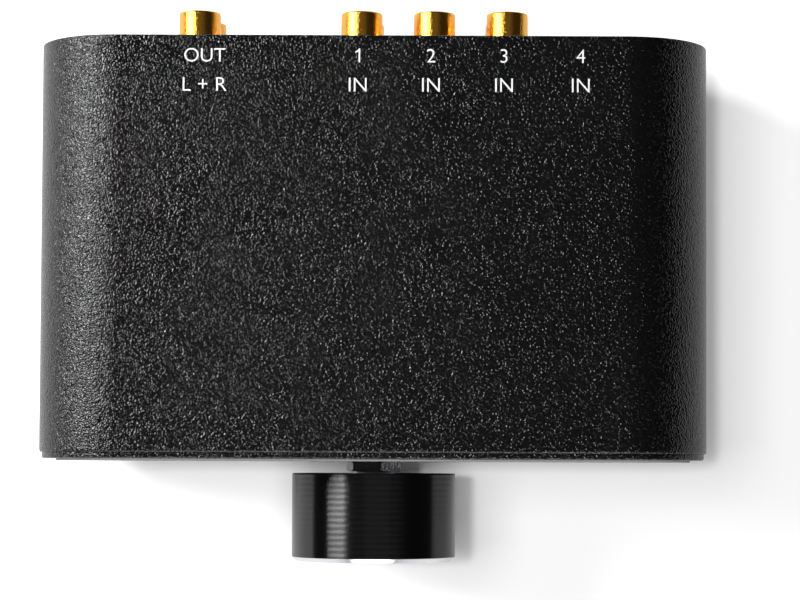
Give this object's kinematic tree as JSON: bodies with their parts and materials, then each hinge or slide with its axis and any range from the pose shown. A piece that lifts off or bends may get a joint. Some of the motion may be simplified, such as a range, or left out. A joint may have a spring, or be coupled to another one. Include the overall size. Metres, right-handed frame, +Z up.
{
  "type": "audio source selector switch",
  "caption": "Black plastic audio selector box with rounded sides, a turning front knob, and gold phono sockets and a small stereo socket at the rear.",
  "frame": {"origin": "middle of the whole selector, on the surface that its feet rest on", "axes": "+X to the right seen from the front, +Y to the rear, +Z up"},
  "size_m": [0.133, 0.1094, 0.0505],
  "materials": {
    "case_black": "fine leather grain, satin",
    "panel_black": "fine grain",
    "plate_black": "polished",
    "knob_black": "polished",
    "rim": "diamond-cut, polished",
    "knob_face": "black anodised, circular brushed",
    "pointer": "white",
    "gold": "gold plated",
    "white": "smooth",
    "red": "smooth",
    "moulding": "smooth",
    "terminal": "tinned",
    "contact": "plain",
    "steel": "zinc plated",
    "dark_steel": "black oxide",
    "die_cast": "die-cast zinc",
    "nickel": "nickel plated",
    "rubber": "matt",
    "board": "green solder mask",
    "phenolic": "phenolic",
    "rotor": "acetal",
    "connector": "nylon",
    "cable": "soft vinyl"
  },
  "bodies": {
    "case": {"top_shell": "case_black", "bottom_shell": "case_black", "front_panel": "case_black", "front_plate": "plate_black", "rear_panel": "panel_black", "case_screws": "steel", "jack_board": "board", "board_screws": "steel", "jack_screws": "dark_steel", "aux_jack_body": "moulding", "aux_jack_springs": "terminal", "switch_bush": "die_cast", "switch_nut": "nickel", "lock_washer": "steel", "switch_housing": "moulding", "switch_base": "phenolic", "switch_rivets": "steel", "switch_contacts": "contact", "detent_spring": "steel", "switch_board": "board", "switch_header": "connector", "switch_plug": "connector", "board_header": "connector", "board_plug": "connector", "ribbon_cable": "cable", "foot_front_left": "rubber", "foot_front_right": "rubber", "foot_rear_left": "rubber", "foot_rear_right": "rubber", "output_housing": "moulding", "output_shells": "gold", "output_left_insulator": "white", "output_right_insulator": "red", "output_terminals": "terminal", "input_1_housing": "moulding", "input_1_shells": "gold", "input_1_left_insulator": "white", "input_1_right_insulator": "red", "input_1_terminals": "terminal", "input_2_housing": "moulding", "input_2_shells": "gold", "input_2_left_insulator": "white", "input_2_right_insulator": "red", "input_2_terminals": "terminal", "input_3_housing": "moulding", "input_3_shells": "gold", "input_3_left_insulator": "white", "input_3_right_insulator": "red", "input_3_terminals": "terminal"},
    "knob": {"knob_body": "knob_black", "knob_trim_ring": "rim", "knob_face": "knob_face", "knob_pointer": "pointer", "knob_insert": "contact", "shaft": "steel", "shaft_clip": "steel", "rotor": "rotor", "wipers": "contact"}
  },
  "joints": [
    {"name": "knob_turn", "type": "hinge", "parent": "case", "child": "knob", "pos_m": [0, -0.03715, 0.0265], "axis": [0, 1, 0], "range_deg": [0, 90], "deforming": ["detent_spring"]}
  ]
}
